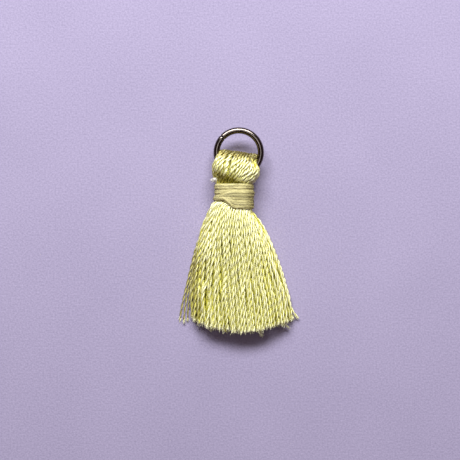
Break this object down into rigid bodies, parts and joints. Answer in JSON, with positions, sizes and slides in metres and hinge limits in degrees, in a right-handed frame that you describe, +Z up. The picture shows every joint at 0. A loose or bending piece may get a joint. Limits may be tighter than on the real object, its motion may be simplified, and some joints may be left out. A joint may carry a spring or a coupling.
{
  "type": "tassel",
  "caption": "Small silk tassel lying flat: yarn folded over a split ring, a wound tie round its neck and a spreading skirt of plied strands.",
  "frame": {"origin": "on the surface the tassel lies on, under the middle of its length and width", "axes": "+Y from the cut ends to the ring, +Z up off the surface, +X to the right as seen from above with the ring at the top"},
  "size_m": [0.019, 0.0328, 0.0057],
  "materials": {
    "yarn": "silky plied yarn, pale yellow",
    "tie_thread": "matte thread, khaki yellow",
    "ring_metal": "polished, dark bronze tone"
  },
  "bodies": {
    "root": {"yarn_bundle": "yarn", "neck_tie": "tie_thread", "split_ring": "ring_metal"}
  },
  "joints": []
}
